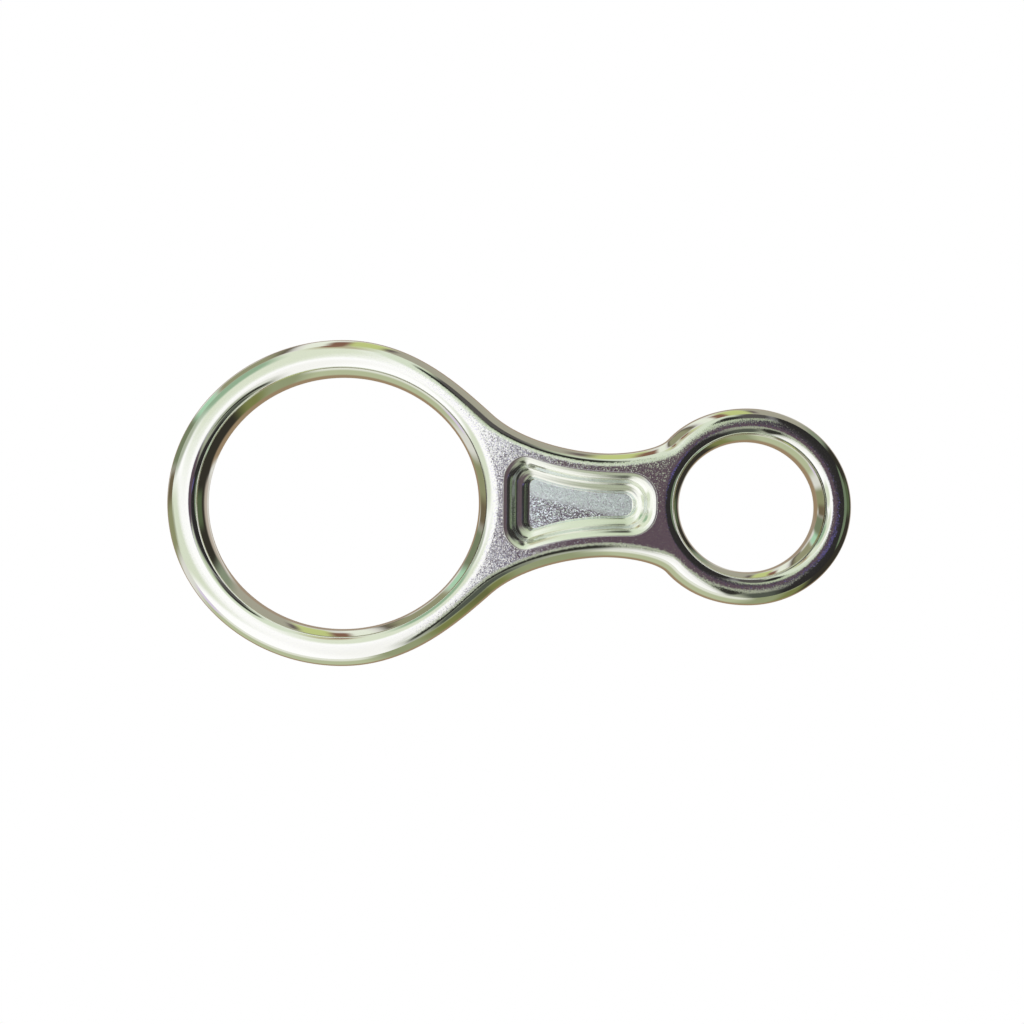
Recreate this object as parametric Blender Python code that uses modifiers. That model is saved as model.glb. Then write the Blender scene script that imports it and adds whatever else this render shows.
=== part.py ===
# Figure eight descender: one aluminium forging, polished, with no other pieces.
#
# Sizes are in metres. X runs along the device from the rope eye to the clip eye, Y goes
# across it, and Z goes through its thickness. It lies on one face, and the origin is on
# that face, under the middle of its length and width. The halves above and below the
# parting plane of the forging dies are the same, so one half is lofted and mirrored.

import math

import bmesh
import bpy
from mathutils import Vector
from mathutils.geometry import interpolate_bezier, intersect_point_line

# Eyes and the metal round them
ROPE_EYE_LENGTH = 0.0500        # the bight of rope goes through this eye
ROPE_EYE_WIDTH = 0.0465
ROPE_END_WALL = 0.0072          # ring seen from above, at the far end
ROPE_SIDE_WALL = 0.0068         # the same at the widest place
CLIP_EYE_LENGTH = 0.0252        # the carabiner clips this eye
CLIP_EYE_WIDTH = 0.0240
CLIP_END_WALL = 0.0065
CLIP_SIDE_WALL = 0.0062

# Neck between the eyes
NECK_LENGTH = 0.0369            # metal from one eye to the other along the middle
NECK_WIDTH = 0.0192             # at the waist, its narrowest place
WAIST_FROM_ROPE_EYE = 0.0237
ROPE_SHOULDER_WIDTH = 0.0330    # where the ring turns into the flank of the neck
ROPE_SHOULDER_SETBACK = 0.0025  # that place, past the end of the rope eye
ROPE_SHOULDER_ANGLE = math.radians(41.5)
CLIP_SHOULDER_WIDTH = 0.0247
CLIP_SHOULDER_SETBACK = 0.0020
CLIP_SHOULDER_ANGLE = math.radians(47.0)

# How far each curve of the outline keeps to the directions at its ends, as shares of the
# straight distance between them
ROPE_RING_PULLS = (0.41, 0.27)      # from the widest place of the ring to the shoulder
ROPE_FLANK_PULLS = (0.36, 0.22)     # on to the waist
CLIP_FLANK_PULLS = (0.35, 0.22)     # on to the other shoulder
CLIP_RING_PULLS = (0.33, 0.37)      # on to the widest place of the small ring

# Section through the rings and the flanks
THICKNESS = 0.0120
EDGE_RUN = 0.0035               # from the outer edge in to the flat of the face
FLANK_RUN = 0.0028              # the same along the flanks of the neck
ROPE_FLANK_BLEND = (-0.0023, 0.0097)    # where one gives way to the other, past the rope eye
CLIP_FLANK_BLEND = (-0.0080, 0.0020)    # where it changes back, past the start of the clip eye
CROWN_FLAT = 0.0003             # narrow flat left along the top of a ring
SECTION_POWER = 2.2             # 2 is an ellipse, more is squarer

# Pocket in each face of the neck: a rounded lip, a steep wall, a ledge and a second wall
ROOT_END_LAND = 0.0009          # flat between the rope eye's rounding and the mouth of the pocket
TIP_END_LAND = 0.0008           # the same beside the clip eye
ROOT_SIDE_LAND = 0.0009         # flat between the flank's rounding and the mouth, at the root
WAIST_SIDE_LAND = 0.0009        # the same at the waist
MOUTH_ROOT_CORNER = 0.0042      # corner radii beside the rope eye and beside the clip eye
MOUTH_TIP_CORNER = 0.0048
FLOOR_ROOT_CORNER = 0.0010
FLOOR_TIP_CORNER = 0.0015
POCKET_SIDE_PULLS = (0.30, 0.45)
POCKET_SIDE_FOLLOWS = 0.8       # share of the flank's slope that the side of the mouth takes
ROOT_WALL_RUN = 0.0024          # upper wall seen from above, with its lip
SIDE_WALL_RUN = 0.00215
TIP_WALL_RUN = 0.00265
ROOT_LEDGE_RUN = 0.0014
SIDE_LEDGE_RUN = 0.0013
TIP_LEDGE_RUN = 0.0011
ROOT_TOE_RUN = 0.0012           # second wall, from the ledge to the floor
SIDE_TOE_RUN = 0.00045
TIP_TOE_RUN = 0.0008
UPPER_STEP = 0.0018             # depth of the ledge's outer edge below the face
LEDGE_FALL = 0.0003             # how far the ledge slopes down
LOWER_STEP = 0.0007             # depth of the floor below the ledge
LIP_RADIUS = 0.0016             # roundings of the walls, as they are at the root
FOOT_RADIUS = 0.0007
TOE_RADIUS = 0.0003

# Limits that keep the pocket whole when the neck is small
SHORTEST_FLOOR = 0.2            # of the length of the mouth
NARROWEST_FLOOR = 0.3           # of the width of the mouth
ROUNDEST_CORNER = 0.9           # of half the width

# Fineness of the facets
OUTLINE_POINTS = 144
ROPE_EYE_POINTS = 76
CLIP_EYE_POINTS = 48
SECTION_STEPS = 7               # from the parting plane to the face
CURVE_STEPS = 24                # on each curve of the outline, before it is spaced evenly
LIP_STEPS = 4
FILLET_STEPS = 2
MOUTH_STEPS = (4, 9, 5)         # along a root corner, a side and a tip corner of the pocket

SHARP_ANGLE = math.radians(40.0)    # edges sharper than this are shaded as edges
PLANE_TOLERANCE = 0.00001           # the two halves are merged where they meet this closely

CIRCLE_HANDLE = 4.0 / 3.0 * (math.sqrt(2.0) - 1.0)   # handle of a quarter circle of radius 1

HALF_THICKNESS = THICKNESS / 2.0
LEDGE_DEPTH = UPPER_STEP + LEDGE_FALL
POCKET_DEPTH = LEDGE_DEPTH + LOWER_STEP
LENGTH = ROPE_END_WALL + ROPE_EYE_LENGTH + NECK_LENGTH + CLIP_EYE_LENGTH + CLIP_END_WALL
ROPE_EYE_EDGE = -LENGTH / 2.0 + ROPE_END_WALL + ROPE_EYE_LENGTH
CLIP_EYE_EDGE = ROPE_EYE_EDGE + NECK_LENGTH
ROPE_EYE_X = ROPE_EYE_EDGE - ROPE_EYE_LENGTH / 2.0
CLIP_EYE_X = CLIP_EYE_EDGE + CLIP_EYE_LENGTH / 2.0
MOUTH_LEFT = ROPE_EYE_EDGE + EDGE_RUN + ROOT_END_LAND
MOUTH_RIGHT = CLIP_EYE_EDGE - EDGE_RUN - TIP_END_LAND

# How far in from the mouth each level lies: at the root, along the sides and at the tip
FOOT_INSETS = Vector((ROOT_WALL_RUN, SIDE_WALL_RUN, TIP_WALL_RUN))
LEDGE_INSETS = FOOT_INSETS + Vector((ROOT_LEDGE_RUN, SIDE_LEDGE_RUN, TIP_LEDGE_RUN))
FLOOR_INSETS = LEDGE_INSETS + Vector((ROOT_TOE_RUN, SIDE_TOE_RUN, TIP_TOE_RUN))
LEVELS = [Vector((0.0, 0.0, 0.0)), FOOT_INSETS, LEDGE_INSETS, FLOOR_INSETS]
LONGEST_ENDS = (MOUTH_RIGHT - MOUTH_LEFT) * (1.0 - SHORTEST_FLOOR)
END_FIT = min(1.0, LONGEST_ENDS / (FLOOR_INSETS[0] + FLOOR_INSETS[2]))

ALONG = Vector((1.0, 0.0, 0.0))
ACROSS = Vector((0.0, 1.0, 0.0))


def clear_scene():
    for thing in list(bpy.data.objects):
        bpy.data.objects.remove(thing, do_unlink=True)


def heading(angle):
    return Vector((math.cos(angle), math.sin(angle), 0.0))


def curve_between(start, start_way, end, end_way, pulls):
    """A curve that leaves start along start_way and reaches end along end_way."""
    reach = (end - start).length
    handle_out = start + start_way * reach * pulls[0]
    handle_in = end - end_way * reach * pulls[1]
    return interpolate_bezier(start, handle_out, handle_in, end, CURVE_STEPS)


def quarter_between(start, start_way, end, end_way):
    """A quarter of an ellipse from start to end."""
    span = end - start
    handle_out = start + start_way * abs(span.dot(start_way)) * CIRCLE_HANDLE
    handle_in = end - end_way * abs(span.dot(end_way)) * CIRCLE_HANDLE
    return interpolate_bezier(start, handle_out, handle_in, end, CURVE_STEPS)


def joined(stretches):
    points = []
    for stretch in stretches:
        if points:
            stretch = stretch[1:]
        points.extend(stretch)
    return points


def closed_by_mirror(upper):
    """The loop made of a line above the X axis and its mirror image below it."""
    lower = [Vector((point.x, -point.y, 0.0)) for point in reversed(upper[1:-1])]
    return list(upper) + lower


def evenly_spaced(points, count):
    """The same line with count + 1 points an equal distance apart."""
    lengths = [0.0]
    for before, after in zip(points, points[1:]):
        lengths.append(lengths[-1] + (after - before).length)
    spaced = []
    place = 0
    for step in range(count + 1):
        target = lengths[-1] * step / count
        while place < len(points) - 2 and lengths[place + 1] < target:
            place += 1
        share = (target - lengths[place]) / (lengths[place + 1] - lengths[place])
        spaced.append(points[place].lerp(points[place + 1], min(share, 1.0)))
    return spaced


def outer_half():
    """The upper half of the outline, from the rope end to the clip end."""
    rope_end = Vector((-LENGTH / 2.0, 0.0, 0.0))
    rope_top = Vector((ROPE_EYE_X, ROPE_EYE_WIDTH / 2.0 + ROPE_SIDE_WALL, 0.0))
    rope_shoulder = Vector((ROPE_EYE_EDGE + ROPE_SHOULDER_SETBACK, ROPE_SHOULDER_WIDTH / 2.0, 0.0))
    waist = Vector((ROPE_EYE_EDGE + WAIST_FROM_ROPE_EYE, NECK_WIDTH / 2.0, 0.0))
    clip_shoulder = Vector((CLIP_EYE_EDGE - CLIP_SHOULDER_SETBACK, CLIP_SHOULDER_WIDTH / 2.0, 0.0))
    clip_top = Vector((CLIP_EYE_X, CLIP_EYE_WIDTH / 2.0 + CLIP_SIDE_WALL, 0.0))
    clip_end = Vector((LENGTH / 2.0, 0.0, 0.0))
    falling = heading(-ROPE_SHOULDER_ANGLE)
    rising = heading(CLIP_SHOULDER_ANGLE)
    return joined([
        quarter_between(rope_end, ACROSS, rope_top, ALONG),
        curve_between(rope_top, ALONG, rope_shoulder, falling, ROPE_RING_PULLS),
        curve_between(rope_shoulder, falling, waist, ALONG, ROPE_FLANK_PULLS),
        curve_between(waist, ALONG, clip_shoulder, rising, CLIP_FLANK_PULLS),
        curve_between(clip_shoulder, rising, clip_top, ALONG, CLIP_RING_PULLS),
        quarter_between(clip_top, ALONG, clip_end, -ACROSS),
    ])


def outer_loop():
    return closed_by_mirror(evenly_spaced(outer_half(), OUTLINE_POINTS // 2))


def eye_loop(middle, length, width, count):
    loop = []
    for step in range(count):
        turn = math.tau * step / count
        loop.append(Vector((middle + length / 2.0 * math.cos(turn), width / 2.0 * math.sin(turn), 0.0)))
    return loop


def distance_to_loop(point, loop):
    """How far a point is from the nearest place on a loop."""
    nearest = math.inf
    for start, end in zip(loop, loop[1:] + loop[:1]):
        place, share = intersect_point_line(point, start, end)
        if share < 0.0:
            place = start
        elif share > 1.0:
            place = end
        nearest = min(nearest, (point - place).length)
    return nearest


def ways_into_metal(loop, side):
    """The direction into the metal at each point, square to the loop."""
    ways = []
    for index, point in enumerate(loop):
        tangent = loop[(index + 1) % len(loop)] - loop[index - 1]
        ways.append(Vector((-tangent.y, tangent.x, 0.0)).normalized() * side)
    return ways


def between(first, second, share):
    return first + (second - first) * share


def eased_step(value, start, end):
    """0 up to start, 1 from end on, with a smooth change between them."""
    share = max(0.0, min(1.0, (value - start) / (end - start)))
    return share * share * (3.0 - 2.0 * share)


def flank_run_at(point):
    """The widest rounding of the outline at a point: it is narrower along the neck."""
    past_rope_eye = eased_step(point.x - ROPE_EYE_EDGE, *ROPE_FLANK_BLEND)
    past_neck = eased_step(point.x - CLIP_EYE_EDGE, *CLIP_FLANK_BLEND)
    return between(EDGE_RUN, FLANK_RUN, past_rope_eye * (1.0 - past_neck))


def eye_run_at(point):
    """The same for the eyes, which are rounded alike all the way round."""
    return EDGE_RUN


def rim_runs(loop, other_loops, widest_run):
    """How far the rounding reaches in at each point: half the ring, or less where that is wide."""
    runs = []
    for point in loop:
        wall = min(distance_to_loop(point, other) for other in other_loops)
        runs.append(min(widest_run(point), (wall - CROWN_FLAT) / 2.0))
    return runs


def section():
    """Shares of the run and of the half thickness, from the parting plane up to the face."""
    shares = []
    for step in range(SECTION_STEPS + 1):
        turn = math.pi / 2.0 * step / SECTION_STEPS
        run_share = 1.0 - max(math.cos(turn), 0.0) ** (2.0 / SECTION_POWER)
        rise_share = math.sin(turn) ** (2.0 / SECTION_POWER)
        shares.append((run_share, rise_share))
    return shares


def add_loop(bm, loop, height):
    return [bm.verts.new((point.x, point.y, height)) for point in loop]


def skin_between(bm, lower, upper, side):
    """Quads between two loops of equal count."""
    count = len(lower)
    for index in range(count):
        after = (index + 1) % count
        corners = (lower[index], lower[after], upper[after], upper[index])
        bm.faces.new(corners if side > 0 else corners[::-1])


def loft_rim(bm, loop, side, other_loops, widest_run):
    """The rounded wall from the parting plane up to the flat of the face. Returns its top loop."""
    ways = ways_into_metal(loop, side)
    runs = rim_runs(loop, other_loops, widest_run)
    below = None
    for run_share, rise_share in section():
        moved = [point + way * run * run_share for point, way, run in zip(loop, ways, runs)]
        ring = add_loop(bm, moved, HALF_THICKNESS * rise_share)
        if below:
            skin_between(bm, below, ring, side)
        below = ring
    return below


def half_width_at(upper, x):
    """Half the width of the outline at x, and the slope of the flank there."""
    for before, after in zip(upper, upper[1:]):
        if before.x <= x <= after.x and after.x > before.x:
            share = (x - before.x) / (after.x - before.x)
            slope = math.atan2(after.y - before.y, after.x - before.x)
            return before.y + (after.y - before.y) * share, slope
    return NECK_WIDTH / 2.0, 0.0


def pocket_loop(upper, insets):
    """The outline of the pocket, so far in from its mouth at the root, the sides and the tip."""
    left = MOUTH_LEFT + insets[0] * END_FIT
    right = MOUTH_RIGHT - insets[2] * END_FIT

    flank, slope = half_width_at(upper, MOUTH_LEFT + MOUTH_ROOT_CORNER)
    mouth_root = flank - (FLANK_RUN + ROOT_SIDE_LAND) / math.cos(slope)
    mouth_tip = NECK_WIDTH / 2.0 - FLANK_RUN - WAIST_SIDE_LAND
    floor_root = max(mouth_root - FLOOR_INSETS[1] / math.cos(slope), mouth_root * NARROWEST_FLOOR)
    floor_tip = max(mouth_tip - FLOOR_INSETS[1], mouth_tip * NARROWEST_FLOOR)
    side_share = insets[1] / FLOOR_INSETS[1]
    root = between(mouth_root, floor_root, side_share)
    tip = between(mouth_tip, floor_tip, side_share)
    root_radius = between(MOUTH_ROOT_CORNER, FLOOR_ROOT_CORNER, insets[0] / FLOOR_INSETS[0])
    tip_radius = between(MOUTH_TIP_CORNER, FLOOR_TIP_CORNER, insets[2] / FLOOR_INSETS[2])
    root_corner = min(root_radius, root * ROUNDEST_CORNER)
    tip_corner = min(tip_radius, tip * ROUNDEST_CORNER)

    falling = heading(slope * POCKET_SIDE_FOLLOWS)
    root_start = Vector((left, root - root_corner, 0.0))
    root_end = Vector((left + root_corner, root, 0.0))
    tip_start = Vector((right - tip_corner, tip, 0.0))
    tip_end = Vector((right, tip - tip_corner, 0.0))
    root_arc = quarter_between(root_start, ACROSS, root_end, falling)
    side = curve_between(root_end, falling, tip_start, ALONG, POCKET_SIDE_PULLS)
    tip_arc = quarter_between(tip_start, ALONG, tip_end, -ACROSS)
    corner_steps, side_steps, tip_steps = MOUTH_STEPS
    return closed_by_mirror(joined([
        [Vector((left, 0.0, 0.0)), root_start],
        evenly_spaced(root_arc, corner_steps),
        evenly_spaced(side, side_steps),
        evenly_spaced(tip_arc, tip_steps),
        [tip_end, Vector((right, 0.0, 0.0))],
    ]))


def rounded_corner(before, corner, after, radius, steps):
    """Points on the arc that rounds a corner between two straight stretches."""
    back = (before - corner).normalized()
    ahead = (after - corner).normalized()
    half_opening = back.angle(ahead) / 2.0
    room = min((before - corner).length, (after - corner).length) / 2.0
    radius = min(radius, room * math.tan(half_opening))
    middle = corner + (back + ahead).normalized() * radius / math.sin(half_opening)
    start = (corner + back * radius / math.tan(half_opening) - middle).normalized()
    end = (corner + ahead * radius / math.tan(half_opening) - middle).normalized()
    return [middle + start.slerp(end, step / steps) * radius for step in range(steps + 1)]


def lip_corner(foot, radius):
    """Where the wall's line meets the face, when the rounding of the lip starts at the mouth."""
    depth = -foot.y
    tangent_length = math.sqrt(foot.length_squared - 2.0 * radius * depth)
    return Vector((radius * depth / (foot.x + tangent_length), 0.0))


def pocket_wall():
    """The way down from the mouth to the floor at the root: distances in, and depths."""
    foot = Vector((FOOT_INSETS[0], -UPPER_STEP))
    ledge = Vector((LEDGE_INSETS[0], -LEDGE_DEPTH))
    toe = Vector((FLOOR_INSETS[0] - TOE_RADIUS, -POCKET_DEPTH))
    on_floor = Vector((FLOOR_INSETS[0], -POCKET_DEPTH))
    lip_radius = min(LIP_RADIUS, foot.length_squared / (2.0 * UPPER_STEP))
    lip = lip_corner(foot, lip_radius)
    on_face = Vector((-lip.x, 0.0))
    points = rounded_corner(on_face, lip, foot, lip_radius, LIP_STEPS)
    points.extend(rounded_corner(lip, foot, ledge, FOOT_RADIUS, FILLET_STEPS))
    points.extend(rounded_corner(foot, ledge, toe, TOE_RADIUS, FILLET_STEPS))
    points.extend(rounded_corner(ledge, toe, on_floor, TOE_RADIUS, FILLET_STEPS))
    points.append(on_floor)
    return points


def insets_at(distance):
    """A distance in from the mouth at the root, as insets at the root, the sides and the tip."""
    for outer, inner in zip(LEVELS, LEVELS[1:]):
        share = (distance - outer[0]) / (inner[0] - outer[0])
        if share <= 1.0:
            return outer.lerp(inner, share)
    return LEVELS[-1]


def loft_pocket(bm, upper):
    """The stepped wall of the pocket and its floor. Returns the loop of its mouth."""
    mouth = None
    above = None
    for place in pocket_wall():
        ring = add_loop(bm, pocket_loop(upper, insets_at(place.x)), HALF_THICKNESS + place.y)
        if above:
            skin_between(bm, above, ring, 1)
        else:
            mouth = ring
        above = ring
    fill_between(bm, [above])
    return mouth


def fill_between(bm, rings):
    """A flat face inside the first ring and outside the others."""
    edges = []
    for ring in rings:
        for first, second in zip(ring, ring[1:] + ring[:1]):
            edges.append(bm.edges.get((first, second)))
    bmesh.ops.triangle_fill(bm, edges=edges, use_beauty=True, normal=(0.0, 0.0, 1.0))


def half_body():
    """The half above the parting plane, open at the plane."""
    upper = outer_half()
    outer = outer_loop()
    rope_eye = eye_loop(ROPE_EYE_X, ROPE_EYE_LENGTH, ROPE_EYE_WIDTH, ROPE_EYE_POINTS)
    clip_eye = eye_loop(CLIP_EYE_X, CLIP_EYE_LENGTH, CLIP_EYE_WIDTH, CLIP_EYE_POINTS)
    bm = bmesh.new()
    face_edges = [
        loft_rim(bm, outer, -1, [rope_eye, clip_eye], flank_run_at),
        loft_rim(bm, rope_eye, -1, [outer], eye_run_at),
        loft_rim(bm, clip_eye, -1, [outer], eye_run_at),
        loft_pocket(bm, upper),
    ]
    fill_between(bm, face_edges)
    bmesh.ops.recalc_face_normals(bm, faces=bm.faces)
    mesh = bpy.data.meshes.new("descender_body")
    bm.to_mesh(mesh)
    bm.free()
    return mesh


def polished_aluminium():
    material = bpy.data.materials.new("polished_aluminium")
    material.use_nodes = True
    shader = material.node_tree.nodes["Principled BSDF"]
    shader.inputs["Base Color"].default_value = (0.82, 0.83, 0.80, 1.0)
    shader.inputs["Metallic"].default_value = 1.0
    shader.inputs["Roughness"].default_value = 0.12
    return material


def make_body(collection):
    body = bpy.data.objects.new("descender_body", half_body())
    body.location.z = HALF_THICKNESS
    body.data.materials.append(polished_aluminium())
    body.data.shade_smooth()
    body.data.set_sharp_from_angle(angle=SHARP_ANGLE)
    mirror = body.modifiers.new("other_die", "MIRROR")
    mirror.use_axis = (False, False, True)
    mirror.merge_threshold = PLANE_TOLERANCE
    collection.objects.link(body)
    return body


def main():
    clear_scene()
    collection = bpy.data.collections.new("figure_eight_descender")
    bpy.context.scene.collection.children.link(collection)
    make_body(collection)


main()
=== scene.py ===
# Looks of the figure eight descender: one polished forging on a pale floor, in metres.
import math

import bmesh
import bpy
from mathutils import Matrix, Vector
from mathutils.geometry import delaunay_2d_cdt, interpolate_bezier
from mathutils.kdtree import KDTree


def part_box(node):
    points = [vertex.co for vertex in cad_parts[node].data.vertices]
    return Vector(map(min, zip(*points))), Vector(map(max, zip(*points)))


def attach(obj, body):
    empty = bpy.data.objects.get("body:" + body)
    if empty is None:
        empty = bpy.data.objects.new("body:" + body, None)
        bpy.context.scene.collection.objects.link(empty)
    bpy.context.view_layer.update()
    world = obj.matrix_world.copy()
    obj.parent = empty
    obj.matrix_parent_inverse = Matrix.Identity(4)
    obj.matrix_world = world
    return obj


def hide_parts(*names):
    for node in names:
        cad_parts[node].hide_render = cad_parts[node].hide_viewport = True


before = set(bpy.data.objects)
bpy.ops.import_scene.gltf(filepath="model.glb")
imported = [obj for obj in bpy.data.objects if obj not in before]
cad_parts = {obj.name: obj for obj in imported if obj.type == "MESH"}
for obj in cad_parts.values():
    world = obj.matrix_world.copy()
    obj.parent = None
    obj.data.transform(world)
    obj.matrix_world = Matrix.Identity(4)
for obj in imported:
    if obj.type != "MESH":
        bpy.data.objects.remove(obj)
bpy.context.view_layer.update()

bodyLow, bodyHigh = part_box("descender_body")
print("frame loaded:", list(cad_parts))


# Node trees written as expressions
class Wire:
    def __init__(self, tree, socket):
        self.tree = tree
        self.socket = socket

    def __add__(self, other):
        return self.tree.maths("ADD", self, other)

    def __radd__(self, other):
        return self.tree.maths("ADD", other, self)

    def __sub__(self, other):
        return self.tree.maths("SUBTRACT", self, other)

    def __rsub__(self, other):
        return self.tree.maths("SUBTRACT", other, self)

    def __mul__(self, other):
        return self.tree.maths("MULTIPLY", self, other)

    def __rmul__(self, other):
        return self.tree.maths("MULTIPLY", other, self)

    def __truediv__(self, other):
        return self.tree.maths("DIVIDE", self, other)

    def __rtruediv__(self, other):
        return self.tree.maths("DIVIDE", other, self)

    def smooth(self, start, end):      # 0 below start and 1 above end, with an eased step between
        return self.tree.add("ShaderNodeMapRange", {"interpolation_type": "SMOOTHSTEP"},
                             {"Value": self, "From Min": start, "From Max": end})["Result"]

    def clamp(self):
        return self.tree.add("ShaderNodeClamp", {}, {"Value": self})[0]


class AddedNode:
    def __init__(self, tree, node):
        self.tree = tree
        self.node = node

    def __getitem__(self, name):
        return Wire(self.tree, self.node.outputs[name])


class Tree:
    def __init__(self, nodeTree):
        self.nodeTree = nodeTree

    def put(self, socket, value):
        if isinstance(value, Wire):
            self.nodeTree.links.new(value.socket, socket)
        else:
            socket.default_value = value

    def add(self, kind, settings=None, values=None):
        node = self.nodeTree.nodes.new(kind)
        for name, value in (settings or {}).items():
            setattr(node, name, value)
        for name, value in (values or {}).items():
            self.put(node.inputs[name], value)
        return AddedNode(self, node)

    def maths(self, operation, first, second=0.0):
        return self.add("ShaderNodeMath", {"operation": operation}, {0: first, 1: second})[0]

    def vector(self, operation, first, second=(0.0, 0.0, 0.0), scale=1.0):
        node = self.add("ShaderNodeVectorMath", {"operation": operation}, {0: first, 1: second})
        if operation == "SCALE":
            self.put(node.node.inputs["Scale"], scale)
        return node["Value" if operation == "LENGTH" else "Vector"]

    def parts(self, vector):
        node = self.add("ShaderNodeSeparateXYZ", {}, {0: vector})
        return node["X"], node["Y"], node["Z"]

    def joined(self, x=0.0, y=0.0, z=0.0):
        return self.add("ShaderNodeCombineXYZ", {}, {"X": x, "Y": y, "Z": z})["Vector"]

    def blend(self, share, first, second):       # colours: first where share is 0, second where it is 1
        return self.add("ShaderNodeMix", {"data_type": "RGBA"}, {0: share, 6: first, 7: second})[2]


# Outline of the forging, seen from above
descenderShape = {
    "ropeEyeLength": 0.0500,
    "ropeEndWall": 0.0072,
    "ropeSideWall": 0.0068,
    "clipEyeLength": 0.0252,
    "clipEyeWidth": 0.0240,
    "clipEndWall": 0.0065,
    "clipSideWall": 0.0062,
    "neckWidth": 0.0192,
    "waistFromRopeEye": 0.0237,
    "ropeShoulder": (0.0330, 0.0025, math.radians(-41.5)),     # width, setback, direction
    "clipShoulder": (0.0247, 0.0020, math.radians(47.0)),
    "ropeRingPulls": (0.41, 0.27),
    "ropeFlankPulls": (0.36, 0.22),
    "clipFlankPulls": (0.35, 0.22),
    "clipRingPulls": (0.33, 0.37),
    "edgeRun": 0.0035,             # rounding, from the outer edge in to the flat of the face
    "flankRun": 0.0028,            # the same along the neck
    "ropeFlankBlend": (-0.0023, 0.0097),       # where one gives way to the other, from the side of each eye
    "clipFlankBlend": (-0.0080, 0.0020),
    "crownFlat": 0.0003,
    "sectionPower": 2.2,
    "satinEdge": (0.04, 0.42),     # where on the rounding satin turns into polish, as shares of it
    "blendReach": 0.0005,          # how gently the full rounding gives way to the narrow one on the rings
}

halfThickness = (bodyHigh.z - bodyLow.z) / 2
ropeEyeLeft = bodyLow.x + descenderShape["ropeEndWall"]
ropeEyeRight = ropeEyeLeft + descenderShape["ropeEyeLength"]
clipEyeRight = bodyHigh.x - descenderShape["clipEndWall"]
clipEyeLeft = clipEyeRight - descenderShape["clipEyeLength"]
ropeEyeX = (ropeEyeLeft + ropeEyeRight) / 2
clipEyeX = (clipEyeLeft + clipEyeRight) / 2
ropeEyeHalfWidth = bodyHigh.y - descenderShape["ropeSideWall"]

pocketShape = {
    "endLands": (0.0009, 0.0008),          # beside the rope eye and beside the carabiner eye
    "waistLand": 0.0009,
    "rootLand": 0.0009,
    "mouthCorners": (0.0042, 0.0048),
    "floorCorners": (0.0010, 0.0015),
    "sidePulls": (0.30, 0.45),
    "sideFollows": 0.8,
    # runs seen from above: at the root, along the sides and at the tip
    "wallRuns": (0.0024, 0.00215, 0.00265),
    "ledgeRuns": (0.0014, 0.0013, 0.0011),
    "toeRuns": (0.0012, 0.00045, 0.0008),
    "upperStep": 0.0018,
    "ledgeFall": 0.0003,
    "lowerStep": 0.0007,
    "lipRadius": 0.0022,
    "footRadius": 0.0007,
    "toeRadius": 0.0003,
}
ledgeDepth = pocketShape["upperStep"] + pocketShape["ledgeFall"]
pocketDepth = ledgeDepth + pocketShape["lowerStep"]
footInsets = Vector(pocketShape["wallRuns"])
ledgeInsets = footInsets + Vector(pocketShape["ledgeRuns"])
floorInsets = ledgeInsets + Vector(pocketShape["toeRuns"])

meshFineness = {
    "curveSteps": 160,
    "outlinePoints": 760,
    "ropeEyePoints": 340,
    "clipEyePoints": 180,
    "sectionSteps": 20,
    # half round the mouth: half the root, its corner, a side, the tip's corner and half the tip
    "mouthPoints": (24, 24, 88, 28, 9),
    "cornerSteps": 12,                # along each rounding of the pocket's section, as first drawn
    "pocketSteps": 42,
    "sectionSmoothing": 6,            # rounds that ease the section and the outline of the pocket
    "loopSmoothing": 14,
    "rimRow": 0.00012,
    "rimClearance": 0.75,             # share of the grid's step that stays free beside a rim
    "faceGrid": 0.00055,
    "floorGrid": 0.00017,
    "sheetTolerance": 1e-9,
    "join": 0.000004,
}

along = Vector((1, 0, 0))
across = Vector((0, 1, 0))
circleHandle = 4 / 3 * (math.sqrt(2) - 1)


def heading(angle):
    return Vector((math.cos(angle), math.sin(angle), 0))


def curveBetween(start, startWay, end, endWay, pulls):     # pulls: its handles, as shares of the distance
    reach = (end - start).length
    handleOut = start + startWay * reach * pulls[0]
    handleIn = end - endWay * reach * pulls[1]
    return interpolate_bezier(start, handleOut, handleIn, end, meshFineness["curveSteps"])


def quarterBetween(start, startWay, end, endWay):          # a quarter of an ellipse
    span = end - start
    handleOut = start + startWay * abs(span.dot(startWay)) * circleHandle
    handleIn = end - endWay * abs(span.dot(endWay)) * circleHandle
    return interpolate_bezier(start, handleOut, handleIn, end, meshFineness["curveSteps"])


def chain(stretches):
    points = list(stretches[0])
    for stretch in stretches[1:]:
        points.extend(stretch[1:])
    return points


def closedByMirror(upper):
    return list(upper) + [Vector((point.x, -point.y, 0)) for point in reversed(upper[1:-1])]


def evenlySpaced(points, count):
    travelled = [0.0]
    for before, after in zip(points, points[1:]):
        travelled.append(travelled[-1] + (after - before).length)
    spaced = []
    place = 0
    for step in range(count + 1):
        target = travelled[-1] * step / count
        while place < len(points) - 2 and travelled[place + 1] < target:
            place += 1
        share = (target - travelled[place]) / (travelled[place + 1] - travelled[place])
        spaced.append(points[place].lerp(points[place + 1], min(share, 1.0)))
    return spaced


def smoothed(points, rounds, closed):          # each round moves a point halfway to its neighbours' middle
    points = list(points)
    last = len(points) - 1
    for count in range(rounds):
        before = list(points)
        for index in range(len(points)):
            if closed or 1 < index < last - 1:
                middle = (before[index - 1] + before[(index + 1) % len(points)]) / 2
                points[index] = before[index].lerp(middle, 0.5)
    return points


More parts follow.
